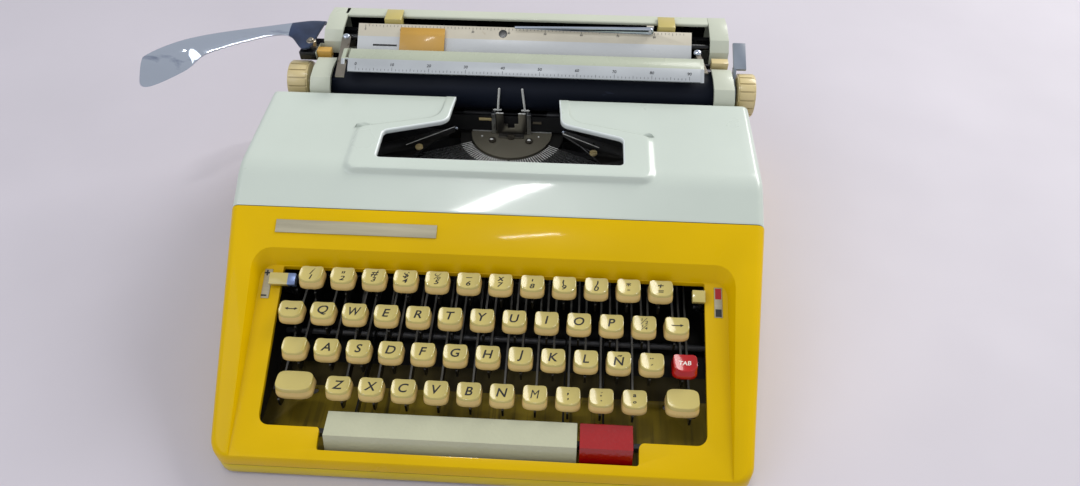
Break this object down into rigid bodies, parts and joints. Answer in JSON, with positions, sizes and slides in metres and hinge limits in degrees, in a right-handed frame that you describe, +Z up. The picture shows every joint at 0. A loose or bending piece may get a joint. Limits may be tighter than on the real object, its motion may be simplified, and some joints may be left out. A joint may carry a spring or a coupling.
{
  "type": "manual typewriter",
  "caption": "Portable manual typewriter with a sloped two-tone case, four rows of keys, space bar, open type basket and a moving carriage with platen, knobs and return lever.",
  "frame": {"origin": "middle of the four fixing holes in the base, at the level of the base, under the middle of the case", "axes": "+X is the typist's right, +Y points away from the typist towards the carriage, +Z is up"},
  "size_m": [0.4215, 0.313, 0.1342],
  "materials": {
    "case_yellow": "glossy moulded plastic",
    "cover_mint": "glossy moulded plastic",
    "trim_silver": "satin",
    "rubber_black": "matt",
    "steel_dark": "blackened",
    "steel_bright": "satin",
    "chrome": "polished",
    "brass": "dull",
    "key_cream": "glossy moulded plastic",
    "key_red": "glossy moulded plastic",
    "bar_cream": "pebbled gloss",
    "tan_plastic": "glossy moulded plastic",
    "platen_rubber": "satin",
    "ribbon_black": "inked",
    "table_grey": "satin",
    "lever_grey": "satin"
  },
  "bodies": {
    "case": {"base_pan": "case_yellow", "feet": "rubber_black", "keyboard_shell": "case_yellow", "trim_plates": "trim_silver", "chassis_sides": "steel_dark", "chassis_cross": "steel_dark", "lever_shafts": "steel_bright", "lever_comb": "steel_dark", "carriage_rail": "steel_bright", "spool_cups": "steel_dark", "ribbon": "ribbon_black", "card_holder": "chrome", "basket_wings": "steel_dark"},
    "cover": {"ribbon_cover": "cover_mint"},
    "basket": {"segment": "steel_dark", "segment_screws": "chrome", "type_bars": "steel_dark", "type_rest": "rubber_black", "type_guide": "steel_dark"},
    "striking_bar": {"type_bar_h": "steel_dark"},
    "vibrator": {"ribbon_vibrator": "steel_bright"},
    "spool_left": {"ribbon_spool_left": "steel_bright"},
    "spool_right": {"ribbon_spool_right": "steel_bright"},
    "number_row": {"keys_number_row": "key_cream"},
    "upper_row": {"keys_upper_row": "key_cream"},
    "home_row": {"keys_home_row": "key_cream"},
    "lower_row": {"keys_lower_row": "key_cream"},
    "key_h": {"key_h": "key_cream"},
    "shift_left": {"shift_left": "key_cream"},
    "shift_right": {"shift_right": "key_cream"},
    "shift_lock": {"shift_lock": "key_cream"},
    "tab_key": {"tab_key": "key_red"},
    "backspace_key": {"backspace_key": "key_cream"},
    "margin_release_key": {"margin_release_key": "key_cream"},
    "space_bar": {"space_bar": "bar_cream"},
    "repeat_spacer": {"repeat_spacer": "key_red"},
    "touch_lever": {"touch_lever": "key_cream"},
    "ribbon_selector": {"ribbon_selector": "key_cream"},
    "carriage": {"carriage_frame": "steel_dark", "carriage_end_left": "cover_mint", "carriage_end_right": "cover_mint", "carriage_rear_cover": "cover_mint", "margin_rail": "steel_bright", "paper_table": "table_grey", "feed_rollers": "rubber_black"},
    "platen": {"platen": "platen_rubber", "platen_shaft": "steel_bright", "platen_knob_left": "tan_plastic", "platen_knob_right": "tan_plastic"},
    "paper_bail": {"paper_bail": "table_grey"},
    "return_lever": {"return_lever": "chrome"},
    "release_lever_left": {"release_lever_left": "tan_plastic"},
    "release_lever_right": {"release_lever_right": "tan_plastic"},
    "paper_release": {"paper_release": "lever_grey"},
    "margin_stop_left": {"margin_stop_left": "key_cream"},
    "margin_stop_right": {"margin_stop_right": "key_cream"},
    "paper_guide": {"paper_guide": "tan_plastic"},
    "paper_support": {"paper_support": "chrome"}
  },
  "joints": [
    {"name": "cover_lift", "type": "slide", "parent": "case", "child": "cover", "axis": [0, 0, -1], "range_m": [-0.04, 0]},
    {"name": "basket_shift", "type": "slide", "parent": "case", "child": "basket", "axis": [0, 0, -1], "range_m": [0, 0.006]},
    {"name": "striking_bar_swing", "type": "hinge", "parent": "basket", "child": "striking_bar", "pos_m": [0.00145, 0.049, 0.0665], "axis": [-1, 0, 0], "range_deg": [0, 127.2]},
    {"name": "vibrator_lift", "type": "slide", "parent": "case", "child": "vibrator", "axis": [0, 0, 1], "range_m": [0, 0.008]},
    {"name": "spool_left_turn", "type": "hinge", "parent": "case", "child": "spool_left", "pos_m": [-0.108, 0.018, 0.07], "axis": [0, 0, 1], "continuous": true},
    {"name": "spool_right_turn", "type": "hinge", "parent": "case", "child": "spool_right", "pos_m": [0.108, 0.018, 0.07], "axis": [0, 0, 1], "continuous": true},
    {"name": "number_row_press", "type": "hinge", "parent": "case", "child": "number_row", "pos_m": [0, 0.045, 0.047], "axis": [1, 0, 0], "range_deg": [0, 5.92], "stiffness_Nm_per_rad": 0.6},
    {"name": "upper_row_press", "type": "hinge", "parent": "case", "child": "upper_row", "pos_m": [0, 0.045, 0.047], "axis": [1, 0, 0], "range_deg": [0, 5.02], "stiffness_Nm_per_rad": 0.6},
    {"name": "home_row_press", "type": "hinge", "parent": "case", "child": "home_row", "pos_m": [0, 0.045, 0.047], "axis": [1, 0, 0], "range_deg": [0, 4.36], "stiffness_Nm_per_rad": 0.6},
    {"name": "lower_row_press", "type": "hinge", "parent": "case", "child": "lower_row", "pos_m": [0, 0.045, 0.047], "axis": [1, 0, 0], "range_deg": [0, 3.85], "stiffness_Nm_per_rad": 0.6},
    {"name": "key_h_press", "type": "hinge", "parent": "case", "child": "key_h", "pos_m": [0, 0.045, 0.047], "axis": [1, 0, 0], "range_deg": [0, 4.36], "stiffness_Nm_per_rad": 0.05},
    {"name": "shift_left_press", "type": "hinge", "parent": "case", "child": "shift_left", "pos_m": [0, 0.045, 0.047], "axis": [1, 0, 0], "range_deg": [0, 3.5], "stiffness_Nm_per_rad": 0.4},
    {"name": "shift_right_press", "type": "hinge", "parent": "case", "child": "shift_right", "pos_m": [0, 0.045, 0.047], "axis": [1, 0, 0], "range_deg": [0, 3.5], "stiffness_Nm_per_rad": 0.4},
    {"name": "shift_lock_press", "type": "hinge", "parent": "case", "child": "shift_lock", "pos_m": [0, 0.045, 0.047], "axis": [1, 0, 0], "range_deg": [0, 2.38], "stiffness_Nm_per_rad": 0.3},
    {"name": "tab_press", "type": "hinge", "parent": "case", "child": "tab_key", "pos_m": [0, 0.045, 0.047], "axis": [1, 0, 0], "range_deg": [0, 3.96], "stiffness_Nm_per_rad": 0.15},
    {"name": "backspace_press", "type": "hinge", "parent": "case", "child": "backspace_key", "pos_m": [0, 0.045, 0.047], "axis": [1, 0, 0], "range_deg": [0, 4.56], "stiffness_Nm_per_rad": 0.15},
    {"name": "margin_release_press", "type": "hinge", "parent": "case", "child": "margin_release_key", "pos_m": [0, 0.045, 0.047], "axis": [1, 0, 0], "range_deg": [0, 4.56], "stiffness_Nm_per_rad": 0.15},
    {"name": "space_bar_press", "type": "hinge", "parent": "case", "child": "space_bar", "pos_m": [0, -0.06, 0.012], "axis": [1, 0, 0], "range_deg": [0, 3.87], "stiffness_Nm_per_rad": 0.3},
    {"name": "repeat_spacer_press", "type": "hinge", "parent": "case", "child": "repeat_spacer", "pos_m": [0, -0.06, 0.012], "axis": [1, 0, 0], "range_deg": [0, 3.87], "stiffness_Nm_per_rad": 0.15},
    {"name": "touch_lever_turn", "type": "hinge", "parent": "case", "child": "touch_lever", "pos_m": [-0.128, -0.052, 0.044], "axis": [1, 0, 0], "range_deg": [-5, 5]},
    {"name": "ribbon_selector_turn", "type": "hinge", "parent": "case", "child": "ribbon_selector", "pos_m": [0.128, -0.052, 0.044], "axis": [1, 0, 0], "range_deg": [-5, 5]},
    {"name": "carriage_travel", "type": "slide", "parent": "case", "child": "carriage", "axis": [1, 0, 0], "range_m": [-0.118, 0.1]},
    {"name": "platen_turn", "type": "hinge", "parent": "carriage", "child": "platen", "pos_m": [0.0097, 0.1, 0.095], "axis": [1, 0, 0], "continuous": true},
    {"name": "bail_lift", "type": "hinge", "parent": "carriage", "child": "paper_bail", "pos_m": [0.0097, 0.122, 0.104], "axis": [-1, 0, 0], "range_deg": [0, 16]},
    {"name": "return_lever_swing", "type": "hinge", "parent": "carriage", "child": "return_lever", "pos_m": [-0.142, 0.112, 0.118], "axis": [0, 0, 1], "range_deg": [0, 25], "stiffness_Nm_per_rad": 0.3},
    {"name": "release_left_press", "type": "hinge", "parent": "carriage", "child": "release_lever_left", "pos_m": [-0.13, 0.109, 0.098], "axis": [-1, 0, 0], "range_deg": [0, 6], "stiffness_Nm_per_rad": 0.05},
    {"name": "release_right_press", "type": "hinge", "parent": "carriage", "child": "release_lever_right", "pos_m": [0.15, 0.109, 0.098], "axis": [-1, 0, 0], "range_deg": [0, 6], "stiffness_Nm_per_rad": 0.05},
    {"name": "paper_release_turn", "type": "hinge", "parent": "carriage", "child": "paper_release", "pos_m": [0.156, 0.1, 0.095], "axis": [1, 0, 0], "range_deg": [0, 15]},
    {"name": "margin_stop_left_slide", "type": "slide", "parent": "carriage", "child": "margin_stop_left", "axis": [1, 0, 0], "range_m": [-0.025, 0.06]},
    {"name": "margin_stop_right_slide", "type": "slide", "parent": "carriage", "child": "margin_stop_right", "axis": [1, 0, 0], "range_m": [-0.06, 0.018]},
    {"name": "paper_guide_slide", "type": "slide", "parent": "carriage", "child": "paper_guide", "axis": [1, 0, 0], "range_m": [-0.02, 0.045]},
    {"name": "paper_support_fold", "type": "hinge", "parent": "carriage", "child": "paper_support", "pos_m": [0.096, 0.1204, 0.1318], "axis": [0, 1, 0], "range_deg": [0, 85]}
  ],
  "couplings": [
    {"joint": "striking_bar_swing", "follows": "key_h_press", "ratio": 29.17},
    {"joint": "vibrator_lift", "follows": "key_h_press", "m_per_rad": 0.1051},
    {"joint": "basket_shift", "follows": "shift_left_press", "m_per_rad": 0.0982},
    {"joint": "shift_right_press", "follows": "shift_left_press", "ratio": 1}
  ]
}
